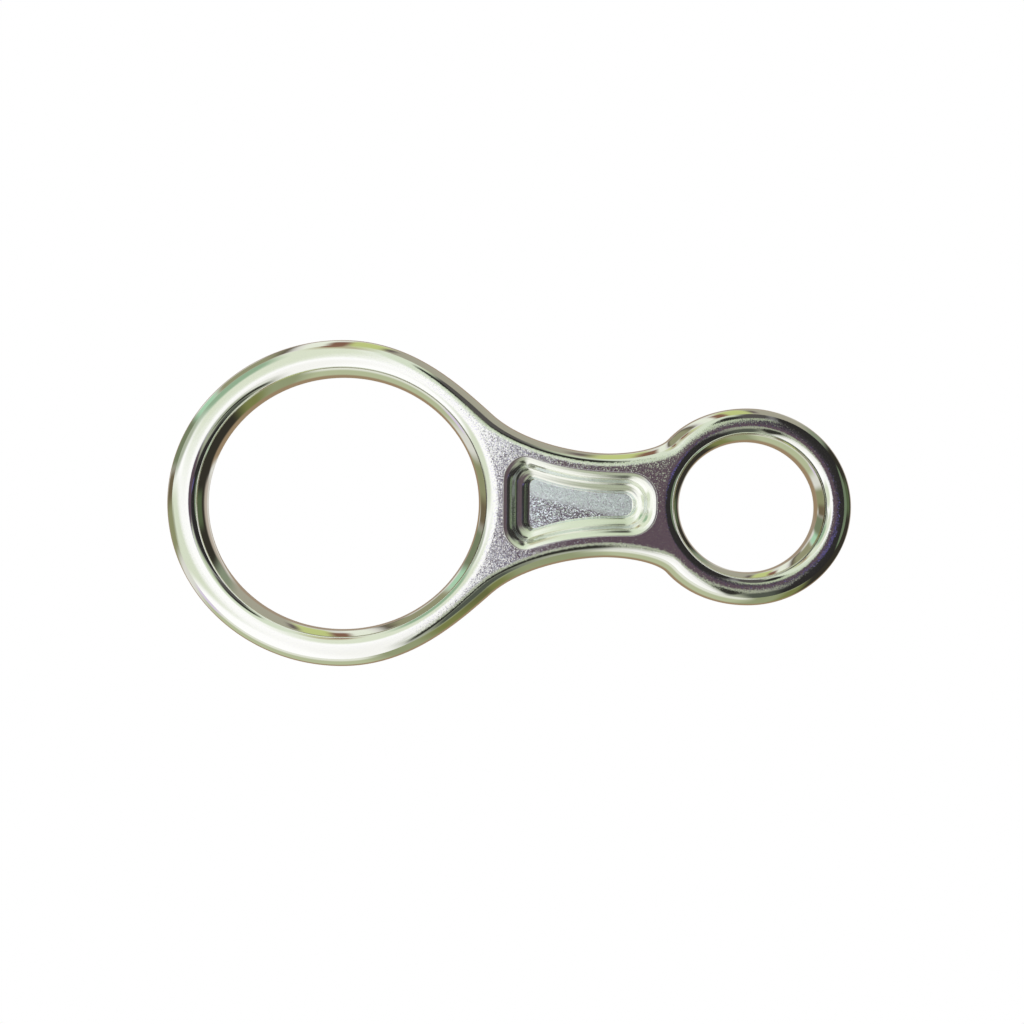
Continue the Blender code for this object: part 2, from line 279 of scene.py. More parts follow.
def outlineHalf():
    shape = descenderShape
    shoulderWidth, setback, falling = shape["ropeShoulder"]
    clipShoulderWidth, clipSetback, rising = shape["clipShoulder"]
    ropeEnd = Vector((bodyLow.x, 0, 0))
    ropeTop = Vector((ropeEyeX, bodyHigh.y, 0))
    ropeShoulder = Vector((ropeEyeRight + setback, shoulderWidth / 2, 0))
    waist = Vector((ropeEyeRight + shape["waistFromRopeEye"], shape["neckWidth"] / 2, 0))
    clipShoulder = Vector((clipEyeLeft - clipSetback, clipShoulderWidth / 2, 0))
    clipTop = Vector((clipEyeX, shape["clipEyeWidth"] / 2 + shape["clipSideWall"], 0))
    clipEnd = Vector((bodyHigh.x, 0, 0))
    return chain([
        quarterBetween(ropeEnd, across, ropeTop, along),
        curveBetween(ropeTop, along, ropeShoulder, heading(falling), shape["ropeRingPulls"]),
        curveBetween(ropeShoulder, heading(falling), waist, along, shape["ropeFlankPulls"]),
        curveBetween(waist, along, clipShoulder, heading(rising), shape["clipFlankPulls"]),
        curveBetween(clipShoulder, heading(rising), clipTop, along, shape["clipRingPulls"]),
        quarterBetween(clipTop, along, clipEnd, -across),
    ])


def eyeLoop(middle, halfLength, halfWidth, count):
    turns = [math.tau * step / count for step in range(count)]
    return [Vector((middle + halfLength * math.cos(turn), halfWidth * math.sin(turn), 0)) for turn in turns]


def treeOf(points):
    tree = KDTree(len(points))
    for index, point in enumerate(points):
        tree.insert(point, index)
    tree.balance()
    return tree


def wallAt(point, others):                     # from a point to the nearest of the other loops
    nearest = math.inf
    for loop, tree in others:
        index = tree.find(point)[1]
        for start, end in ((loop[index - 1], loop[index]), (loop[index], loop[(index + 1) % len(loop)])):
            span = end - start
            share = max(0.0, min(1.0, (point - start).dot(span) / span.length_squared))
            nearest = min(nearest, (point - start.lerp(end, share)).length)
    return nearest


def gentleLower(first, second, reach):         # the lower of two lengths, without a crease
    share = max(reach - abs(first - second), 0.0) / reach
    return min(first, second) - share * share * reach / 4


def easedStep(value, start, end):
    share = max(0.0, min(1.0, (value - start) / (end - start)))
    return share * share * (3 - 2 * share)


def roundingAt(x):                             # the outer edge's own rounding, without its limit on a ring
    shape = descenderShape
    past = easedStep(x - ropeEyeRight, *shape["ropeFlankBlend"])
    before = 1 - easedStep(x - clipEyeLeft, *shape["clipFlankBlend"])
    return shape["edgeRun"] + (shape["flankRun"] - shape["edgeRun"]) * past * before


def reachesIn(loop, others, follows):          # from each point on the parting line in to the flat
    shape = descenderShape
    reaches = []
    for index, point in enumerate(loop):
        tangent = loop[(index + 1) % len(loop)] - loop[index - 1]
        way = Vector((tangent.y, -tangent.x, 0)).normalized()
        narrow = (wallAt(point, others) - shape["crownFlat"]) / 2
        widest = roundingAt(point.x) if follows else shape["edgeRun"]
        reaches.append(way * gentleLower(widest, narrow, shape["blendReach"]))
    return reaches


def edgeSection():                             # from the flat down to the parting plane
    shares, rises, satin = [], [], []
    steps = meshFineness["sectionSteps"]
    power = 2 / descenderShape["sectionPower"]
    for step in range(steps + 1):
        turn = math.pi / 2 * (1 - step / steps)
        out = max(math.cos(turn), 0.0) ** power
        shares.append(Vector((out, 0, 0)))
        rises.append(halfThickness * (math.sin(turn) ** power - 1))
        satin.append(1 - easedStep(out, *descenderShape["satinEdge"]))
    nowhere = [0.0] * (steps + 1)
    return lineObject("edgeSection", shares, {
        "rise": rises, "satin": satin, "grained": nowhere, "milled": nowhere, "upWall": nowhere})


# Pocket in each face
def flankAt(upper, x):                         # how far out the flank is at x, and its slope there
    for before, after in zip(upper, upper[1:]):
        if before.x <= x <= after.x and after.x > before.x:
            onward, outward = after.x - before.x, after.y - before.y
            share = (x - before.x) / onward
            return before.y + outward * share, math.atan2(outward, onward)
    return descenderShape["neckWidth"] / 2, 0.0


def pocketLoop(upper, insets):                 # insets: at the root, along the sides and at the tip
    shape = pocketShape
    rootInset, sideInset, tipInset = insets
    mouthLeft = ropeEyeRight + descenderShape["edgeRun"] + shape["endLands"][0]
    mouthRight = clipEyeLeft - descenderShape["edgeRun"] - shape["endLands"][1]
    left = mouthLeft + rootInset
    right = mouthRight - tipInset
    flank, slope = flankAt(upper, mouthLeft + shape["mouthCorners"][0])
    root = flank - (descenderShape["flankRun"] + shape["rootLand"] + sideInset) / math.cos(slope)
    tip = descenderShape["neckWidth"] / 2 - descenderShape["flankRun"] - shape["waistLand"] - sideInset
    share = rootInset / floorInsets[0]
    rootCorner, tipCorner = [mouth + (floor - mouth) * share
                             for mouth, floor in zip(shape["mouthCorners"], shape["floorCorners"])]
    falling = heading(slope * shape["sideFollows"])
    rootStart = Vector((left, root - rootCorner, 0))
    rootEnd = Vector((left + rootCorner, root, 0))
    tipStart = Vector((right - tipCorner, tip, 0))
    tipEnd = Vector((right, tip - tipCorner, 0))
    stretches = [
        [Vector((left, 0, 0)), rootStart],
        quarterBetween(rootStart, across, rootEnd, falling),
        curveBetween(rootEnd, falling, tipStart, along, shape["sidePulls"]),
        quarterBetween(tipStart, along, tipEnd, -across),
        [tipEnd, Vector((right, 0, 0))],
    ]
    return closedByMirror(chain([
        evenlySpaced(stretch, count) for stretch, count in zip(stretches, meshFineness["mouthPoints"])]))


def roundedCorner(before, corner, after, radius, steps):
    back = (before - corner).normalized()
    ahead = (after - corner).normalized()
    opening = back.angle(ahead) / 2
    middle = corner + (back + ahead).normalized() * radius / math.sin(opening)
    start = corner + back * radius / math.tan(opening) - middle
    end = corner + ahead * radius / math.tan(opening) - middle
    return [middle + start.normalized().slerp(end.normalized(), step / steps) * radius
            for step in range(steps + 1)]


def lipCorner(foot, radius):                   # where wall and face meet, for a rounding from the mouth on
    depth = -foot.z
    tangentLength = math.sqrt(foot.length_squared - 2 * radius * depth)
    return Vector((radius * depth / (foot.x + tangentLength), 0, 0))


def pocketSection():                           # from the floor up to the mouth
    shape = pocketShape
    foot = Vector((footInsets[0], 0, -shape["upperStep"]))
    ledge = Vector((ledgeInsets[0], 0, -ledgeDepth))
    toe = Vector((floorInsets[0] - shape["toeRadius"], 0, -pocketDepth))
    onFloor = Vector((floorInsets[0], 0, -pocketDepth))
    lip = lipCorner(foot, shape["lipRadius"])
    corners = [-lip, lip, foot, ledge, toe, onFloor]
    radii = [shape["lipRadius"], shape["footRadius"], shape["toeRadius"], shape["toeRadius"]]
    points = []
    for index, radius in enumerate(radii):
        points += roundedCorner(*corners[index:index + 3], radius, meshFineness["cornerSteps"])
    points.append(onFloor)
    points = evenlySpaced(points, meshFineness["pocketSteps"])
    points = smoothed(points, meshFineness["sectionSmoothing"], False)
    shares, rises = [], []
    for point in reversed(points):
        toLedge = (floorInsets[0] - point.x) / shape["toeRuns"][0]
        toFoot = (ledgeInsets[0] - point.x) / shape["ledgeRuns"][0]
        toMouth = (footInsets[0] - point.x) / shape["wallRuns"][0]
        shares.append(Vector([max(0.0, min(1.0, share)) for share in (toLedge, toFoot, toMouth)]))
        rises.append(point.z + pocketDepth)
    inner = [0.0] * (len(points) - 2)
    walls = [1.0] * (len(points) - 2)
    return lineObject("pocketSection", shares, {
        "rise": rises,
        "satin": [0.0, *inner, 1.0],
        "grained": [1.0, *inner, 0.0],
        "milled": [0.0, *walls, 0.0],
        "upWall": [index / len(points) for index in range(len(points))],
    })


def inLoop(point, loop):
    inside = False
    for start, end in zip(loop, loop[1:] + loop[:1]):
        if (start.y > point.y) != (end.y > point.y):
            if point.x < start.x + (point.y - start.y) * (end.x - start.x) / (end.y - start.y):
                inside = not inside
    return inside


def gridPoints(outside, holes, grid, rims):    # a grid of even triangles that keeps clear of the rims
    low = Vector((min(point.x for point in outside), min(point.y for point in outside)))
    high = Vector((max(point.x for point in outside), max(point.y for point in outside)))
    points = []
    row = 0
    y = low.y
    while y < high.y:
        x = low.x + grid * (row % 2) / 2
        while x < high.x:
            place = Vector((x, y, 0))
            clear = rims.find(place)[2] > grid * meshFineness["rimClearance"]
            if clear and inLoop(place, outside) and not any(inLoop(place, hole) for hole in holes):
                points.append(place.xy)
            x += grid
        y += grid * math.sqrt(3) / 2
        row += 1
    return points


reachNames = ("reachA", "reachB", "reachC")    # how far a rim point moves out, stretch by stretch


def flatSheet(name, outside, holes, grid, height):
    # a flat triangulated sheet; each loop has its points, ways into the sheet and one or more reaches,
    # which are kept as attributes, and a second row of points close inside its rim keeps the shading flat
    loops = [outside] + holes
    rimPoints = [point for loop in loops for point in loop[0]]
    rimReaches = [reaches for loop in loops for reaches in zip(*loop[2:])]
    insidePoints = [point + way * meshFineness["rimRow"] for loop in loops for point, way in zip(*loop[:2])]
    points = [Vector(point.xy) for point in rimPoints + insidePoints]
    edges = []
    first = 0
    for rim in [loop[0] for loop in loops]:
        edges += [(first + index, first + (index + 1) % len(rim)) for index in range(len(rim))]
        first += len(rim)
    points += gridPoints(outside[0], [hole[0] for hole in holes], grid, treeOf(rimPoints + insidePoints))
    outline = [list(range(len(outside[0])))]
    insideOnly = 1
    triangles = delaunay_2d_cdt(points, edges, outline, insideOnly, meshFineness["sheetTolerance"])
    corners, faces = triangles[0], triangles[2]
    sheet = bmesh.new()
    reachLayers = [sheet.verts.layers.float_vector.new(reachName) for reachName in reachNames]
    front = sheet.edges.layers.bool.new("front")
    placed = [sheet.verts.new((corner.x, corner.y, height)) for corner in corners]
    for index, reaches in enumerate(rimReaches):
        for layer, reach in zip(reachLayers, reaches):
            placed[index][layer] = reach
    for face in faces:
        middle = sum((corners[index] for index in face), Vector((0, 0))) / len(face)
        onRim = all(index < len(rimPoints) for index in face)
        if not (onRim and any(inLoop(middle, hole[0]) for hole in holes)):
            sheet.faces.new([placed[index] for index in face])
    for edge in sheet.edges:
        edge[front] = edge.is_boundary and all(vert[reachLayers[0]].length > 0 for vert in edge.verts)
    bmesh.ops.delete(sheet, geom=[vert for vert in sheet.verts if not vert.link_faces], context="VERTS")
    mesh = bpy.data.meshes.new(name)
    sheet.to_mesh(mesh)
    sheet.free()
    return mesh


def meshObject(name, mesh):
    made = bpy.data.objects.new(name, mesh)
    bpy.context.scene.collection.objects.link(made)
    return made


def lineObject(name, points, values):
    mesh = bpy.data.meshes.new(name)
    mesh.from_pydata(points, [(index, index + 1) for index in range(len(points) - 1)], [])
    for label, numbers in values.items():
        mesh.attributes.new(label, "FLOAT", "POINT").data.foreach_set("value", numbers)
    return meshObject(name, mesh)


# Geometry nodes: the rounded edges and the pocket are swept from flat sheets
finishMasks = ("satin", "grained", "milled", "upWall")      # finish of each point, and its place up a wall


def newTree(name, inputs):
    group = bpy.data.node_groups.new(name, "GeometryNodeTree")
    for label, kind in inputs:
        group.interface.new_socket(label, in_out="INPUT", socket_type=kind)
    group.interface.new_socket("Geometry", in_out="OUTPUT", socket_type="NodeSocketGeometry")
    tree = Tree(group)
    return tree, tree.add("NodeGroupInput")


def namedValue(tree, name, kind):
    return tree.add("GeometryNodeInputNamedAttribute", {"data_type": kind}, {"Name": name})["Attribute"]


def storedValue(tree, geometry, name, kind, domain, value, chosen=True):
    return tree.add("GeometryNodeStoreNamedAttribute", {"data_type": kind, "domain": domain},
                    {"Geometry": geometry, "Selection": chosen, "Name": name, "Value": value})["Geometry"]


def sampledValue(tree, geometry, kind, value, index):
    return tree.add("GeometryNodeSampleIndex", {"data_type": kind},
                    {"Geometry": geometry, "Value": value, "Index": index})["Value"]


def sweepTree():
    # pushes the front edges of a sheet along a section, one step for each of its points
    tree, given = newTree("sweepEdges", [
        ("Geometry", "NodeSocketGeometry"),
        ("Section", "NodeSocketObject"),
    ])
    position = tree.add("GeometryNodeInputPosition")["Position"]
    section = tree.add("GeometryNodeObjectInfo", {}, {"Object": given["Section"]})["Geometry"]
    steps = tree.add("GeometryNodeAttributeDomainSize", {}, {"Geometry": section})["Point Count"] - 1
    sheet = storedValue(tree, given["Geometry"], "home", "FLOAT_VECTOR", "POINT", position)
    for mask in finishMasks:
        atStart = sampledValue(tree, section, "FLOAT", namedValue(tree, mask, "FLOAT"), 0)
        sheet = storedValue(tree, sheet, mask, "FLOAT", "POINT", atStart)
    start = tree.add("GeometryNodeRepeatInput")
    end = tree.add("GeometryNodeRepeatOutput")
    start.node.pair_with_output(end.node)
    tree.put(start.node.inputs["Iterations"], steps)
    tree.put(start.node.inputs["Geometry"], sheet)
    pushed = tree.add("GeometryNodeExtrudeMesh", {"mode": "EDGES"}, {
        "Mesh": start["Geometry"], "Selection": namedValue(tree, "front", "BOOLEAN"),
        "Offset": (0, 0, 0), "Offset Scale": 0.0})
    index = start["Iteration"] + 1
    shares = tree.parts(sampledValue(tree, section, "FLOAT_VECTOR", position, index))
    rise = sampledValue(tree, section, "FLOAT", namedValue(tree, "rise", "FLOAT"), index)
    place = namedValue(tree, "home", "FLOAT_VECTOR")
    for reachName, share in zip(reachNames, shares):
        reach = namedValue(tree, reachName, "FLOAT_VECTOR")
        place = tree.vector("ADD", place, tree.vector("SCALE", reach, scale=share))
    place = tree.vector("ADD", place, tree.joined(z=rise))
    swept = tree.add("GeometryNodeSetPosition", {}, {
        "Geometry": pushed["Mesh"], "Selection": pushed["Top"], "Position": place})["Geometry"]
    for mask in finishMasks:
        there = sampledValue(tree, section, "FLOAT", namedValue(tree, mask, "FLOAT"), index)
        onTop = tree.add("GeometryNodeFieldOnDomain", {"data_type": "BOOLEAN", "domain": "POINT"},
                         {"Value": pushed["Top"]})["Value"]
        swept = storedValue(tree, swept, mask, "FLOAT", "POINT", there, onTop)
    marked = storedValue(tree, swept, "front", "BOOLEAN", "EDGE", pushed["Top"])
    tree.put(end.node.inputs["Geometry"], marked)
    tree.add("NodeGroupOutput", {}, {"Geometry": end["Geometry"]})
    return tree.nodeTree


def forgingTree(sweep):
    tree, given = newTree("forgedBody", [
        ("Geometry", "NodeSocketGeometry"),
        ("Edge section", "NodeSocketObject"),
        ("Pocket floor", "NodeSocketObject"),
        ("Pocket section", "NodeSocketObject"),
        ("Join distance", "NodeSocketFloat"),
        ("Wave length", "NodeSocketFloat"),
        ("Wave depth", "NodeSocketFloat"),
        ("Grain length", "NodeSocketFloat"),
        ("Grain depth", "NodeSocketFloat"),
        ("Material", "NodeSocketMaterial"),
    ])
    face = tree.add("GeometryNodeGroup", {"node_tree": sweep}, {
        "Geometry": given["Geometry"], "Section": given["Edge section"]})["Geometry"]
    floor = tree.add("GeometryNodeObjectInfo", {}, {"Object": given["Pocket floor"]})["Geometry"]
    pocket = tree.add("GeometryNodeGroup", {"node_tree": sweep}, {
        "Geometry": floor, "Section": given["Pocket section"]})["Geometry"]
    upper = tree.add("GeometryNodeJoinGeometry")
    tree.nodeTree.links.new(face.socket, upper.node.inputs[0])
    tree.nodeTree.links.new(pocket.socket, upper.node.inputs[0])
    lower = tree.add("GeometryNodeTransform", {}, {"Geometry": upper["Geometry"], "Scale": (1, 1, -1)})
    flipped = tree.add("GeometryNodeFlipFaces", {}, {"Mesh": lower["Geometry"]})
    both = tree.add("GeometryNodeJoinGeometry")
    tree.nodeTree.links.new(upper["Geometry"].socket, both.node.inputs[0])
    tree.nodeTree.links.new(flipped["Mesh"].socket, both.node.inputs[0])
    merged = tree.add("GeometryNodeMergeByDistance", {}, {
        "Geometry": both["Geometry"], "Distance": given["Join distance"]})
    position = tree.add("GeometryNodeInputPosition")["Position"]
    normal = tree.add("GeometryNodeInputNormal")["Normal"]
    # noise runs from 0 to 1, so taking 1 off keeps the waves below the drawn surface
    wave = tree.add("ShaderNodeTexNoise", {}, {
        "Vector": position, "Scale": 1 / given["Wave length"], "Detail": 1.0})[0] - 1
    grain = tree.add("ShaderNodeTexNoise", {}, {
        "Vector": position, "Scale": 1 / given["Grain length"], "Detail": 2.0})[0] - 0.5
    depth = wave * given["Wave depth"] + grain * given["Grain depth"] * namedValue(tree, "grained", "FLOAT")
    ground = tree.add("GeometryNodeSetPosition", {}, {
        "Geometry": merged["Geometry"], "Offset": tree.vector("SCALE", normal, scale=depth)})["Geometry"]
    raised = tree.add("GeometryNodeTransform", {}, {
        "Geometry": ground, "Translation": (0, 0, halfThickness)})
    smooth = tree.add("GeometryNodeSetShadeSmooth", {}, {"Geometry": raised["Geometry"]})
    real = tree.add("GeometryNodeRealizeInstances", {}, {"Geometry": smooth["Geometry"]})
    painted = tree.add("GeometryNodeSetMaterial", {}, {
        "Geometry": real["Geometry"], "Material": given["Material"]})
    tree.add("NodeGroupOutput", {}, {"Geometry": painted["Geometry"]})
    return tree.nodeTree


def nodesResult(owner, tree, settings):        # runs a tree on an object and returns a plain mesh
    modifier = owner.modifiers.new("nodes", "NODES")
    modifier.node_group = tree
    for item in tree.interface.items_tree:
        if item.in_out == "INPUT" and item.name in settings:
            modifier[item.identifier] = settings[item.name]
    evaluated = owner.evaluated_get(bpy.context.evaluated_depsgraph_get())
    mesh = bpy.data.meshes.new_from_object(evaluated)
    owner.modifiers.remove(modifier)
    return mesh


def faceRims(outline, eyes):                   # the outline and the eyes, moved in past their roundings
    around = [(outline, treeOf(outline))]
    within = [(eye, treeOf(eye)) for eye in eyes]
    rims = []
    for loop in [outline] + eyes:
        isOutline = loop is outline
        reaches = reachesIn(loop, within if isOutline else around, isOutline)
        rims.append(([point + reach for point, reach in zip(loop, reaches)],
                     [reach.normalized() for reach in reaches], [-reach for reach in reaches]))
    return rims


def forgedMesh(material):
    upper = outlineHalf()
    outline = closedByMirror(evenlySpaced(upper, meshFineness["outlinePoints"] // 2))
    ropeEye = eyeLoop(ropeEyeX, descenderShape["ropeEyeLength"] / 2, ropeEyeHalfWidth,
                      meshFineness["ropeEyePoints"])
    clipEye = eyeLoop(clipEyeX, descenderShape["clipEyeLength"] / 2, descenderShape["clipEyeWidth"] / 2,
                      meshFineness["clipEyePoints"])
    rims = faceRims(outline, [ropeEye, clipEye])
    levels = [smoothed(pocketLoop(upper, insets), meshFineness["loopSmoothing"], True)
              for insets in (floorInsets, ledgeInsets, footInsets, Vector())]
    reaches = [[out - place for out, place in zip(wider, narrower)]
               for narrower, wider in zip(levels, levels[1:])]
    still = [Vector()] * len(levels[0])
    print("outline and pocket drawn")
    outward = [reach.normalized() for reach in reaches[-1]]
    inward = [-reach.normalized() for reach in reaches[0]]
    face = flatSheet("face", rims[0], rims[1:] + [(levels[-1], outward, still)], meshFineness["faceGrid"],
                     halfThickness)
    pocket = flatSheet("pocketFloor", (levels[0], inward, *reaches), [], meshFineness["floorGrid"],
                       halfThickness - pocketDepth)
    print("flat sheets made:", len(face.polygons), len(pocket.polygons))
    faceObject = meshObject("face", face)
    edgeLine = edgeSection()
    floorObject = meshObject("pocketFloor", pocket)
    pocketLine = pocketSection()
    mesh = nodesResult(faceObject, forgingTree(sweepTree()), {
        "Edge section": edgeLine,
        "Pocket floor": floorObject,
        "Pocket section": pocketLine,
        "Join distance": meshFineness["join"],
        "Wave length": metalLook["waveLength"],
        "Wave depth": metalLook["waveDepth"],
        "Grain length": metalLook["grainLength"],
        "Grain depth": metalLook["grainDepth"],
        "Material": material,
    })
    for helper in (faceObject, edgeLine, floorObject, pocketLine):
        bpy.data.objects.remove(helper)
    return mesh


# Polished aluminium
millimetres = 1000                 # in a metre
metalLook = {
    "tint": (0.86, 0.87, 0.83),
    "floorTint": (0.89, 0.97, 1.0),
    "wallTint": (0.86, 0.88, 0.81),
    "speckTint": (0.72, 0.70, 0.80),
    "roughness": 0.06,
    "satinRoughness": 0.11,
    "wallRoughness": 0.15,
    "floorRoughness": 0.52,
    "wornRoughness": 0.16,         # of the floor's corner by the root and -Y, which is worn smoother
    "wornSlant": (0.22, 0.9),      # the way out of that corner, along X and Y
    "wornEdge": (1.5, 3.5),        # from where to where the wear fades out that way, in millimetres
    "toolMarks": 11,               # lines that the cutter left round the pocket's walls
    "toolDepth": 0.004,            # and their depth, in millimetres
    "waveLength": 0.013,           # slow waves left by hand grinding, and the grain of the pocket's floor
    "waveDepth": 0.00003,
    "grainLength": 0.00042,
    "grainDepth": 0.000004,
    "polishSize": 1.6,             # sizes of the finer marks, in millimetres
    "grainSize": 0.13,
    "speckSize": 0.24,
    "speckEdge": (0.53, 0.63),     # strength of the noise at which a speck starts, and is full
    "markDetail": 2.0,
    "markRoughness": 0.6,
    "polishRelief": 0.0008,        # height of the polishing marks, in millimetres too
    "satinTilt": 0.10,             # how far the small facets of each finish lean
    "floorTilt": 0.22,
    "ropeRingSatin": 0.22,         # share of the satin left on the large ring, which is buffed brighter
    "ropeRingFade": (-0.022, -0.012),          # where, along X, the rest comes back towards the neck
}


def polishedAluminium():
    material = bpy.data.materials.new("polishedAluminium")
    material.use_nodes = True
    tree = Tree(material.node_tree)
    shader = material.node_tree.nodes["Principled BSDF"]
    spot = tree.add("ShaderNodeTexCoord")["Object"]
    x, y = tree.parts(spot)[:2]
    place = tree.vector("SCALE", spot, scale=millimetres)

    def marks(size):
        return tree.add("ShaderNodeTexNoise", {}, {
            "Vector": place, "Scale": 1 / size, "Detail": metalLook["markDetail"],
            "Roughness": metalLook["markRoughness"]})[0]

    satin, grained, milled, upWall = [
        tree.add("ShaderNodeAttribute", {"attribute_name": mask})["Fac"] for mask in finishMasks]
    share = metalLook["ropeRingSatin"]
    satin = satin * (share + x.smooth(*metalLook["ropeRingFade"]) * (1 - share))
    specks = marks(metalLook["speckSize"]).smooth(*metalLook["speckEdge"])
    colour = tree.blend(milled, (*metalLook["tint"], 1), (*metalLook["wallTint"], 1))
    colour = tree.blend(grained, colour, (*metalLook["floorTint"], 1))
    colour = tree.blend(specks * (satin + grained).clamp(), colour, (*metalLook["speckTint"], 1))
    roughness = metalLook["roughness"] + satin * (metalLook["satinRoughness"] - metalLook["roughness"])
    roughness = roughness + milled * (metalLook["wallRoughness"] - metalLook["roughness"])
    slantX, slantY = metalLook["wornSlant"]
    unworn = ((x * slantX + y * slantY) * millimetres).smooth(*metalLook["wornEdge"])
    smoothest = metalLook["wornRoughness"]
    onFloor = smoothest + unworn * (metalLook["floorRoughness"] - smoothest)
    roughness = roughness + grained * (onFloor - metalLook["roughness"])
    lines = tree.maths("SINE", upWall * (math.tau * metalLook["toolMarks"])) * metalLook["toolDepth"]
    height = marks(metalLook["polishSize"]) * metalLook["polishRelief"] + lines * milled
    bump = tree.add("ShaderNodeBump", {}, {
        "Height": height, "Strength": 1.0, "Distance": 1 / millimetres})["Normal"]
    # small facets, each with a random lean from -1 to 1 both ways, cubed so that most lean only a little
    facet = tree.add("ShaderNodeTexVoronoi", {}, {
        "Vector": place, "Scale": 1 / metalLook["grainSize"]})["Color"]
    lean = tree.vector("SUBTRACT", tree.vector("SCALE", facet, scale=2.0), (1.0, 1.0, 1.0))
    lean = tree.vector("MULTIPLY", lean, tree.vector("MULTIPLY", lean, lean))
    tilt = satin * metalLook["satinTilt"] + grained * metalLook["floorTilt"]
    normal = tree.vector("NORMALIZE", tree.vector("ADD", bump, tree.vector("SCALE", lean, scale=tilt)))
    tree.put(shader.inputs["Base Color"], colour)
    tree.put(shader.inputs["Metallic"], 1.0)
    tree.put(shader.inputs["Roughness"], roughness)
    tree.put(shader.inputs["Normal"], normal)
    return material


descender = meshObject("descenderForging", forgedMesh(polishedAluminium()))
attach(descender, "root")
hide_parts("descender_body")
print("forging made:", len(descender.data.polygons), "faces")

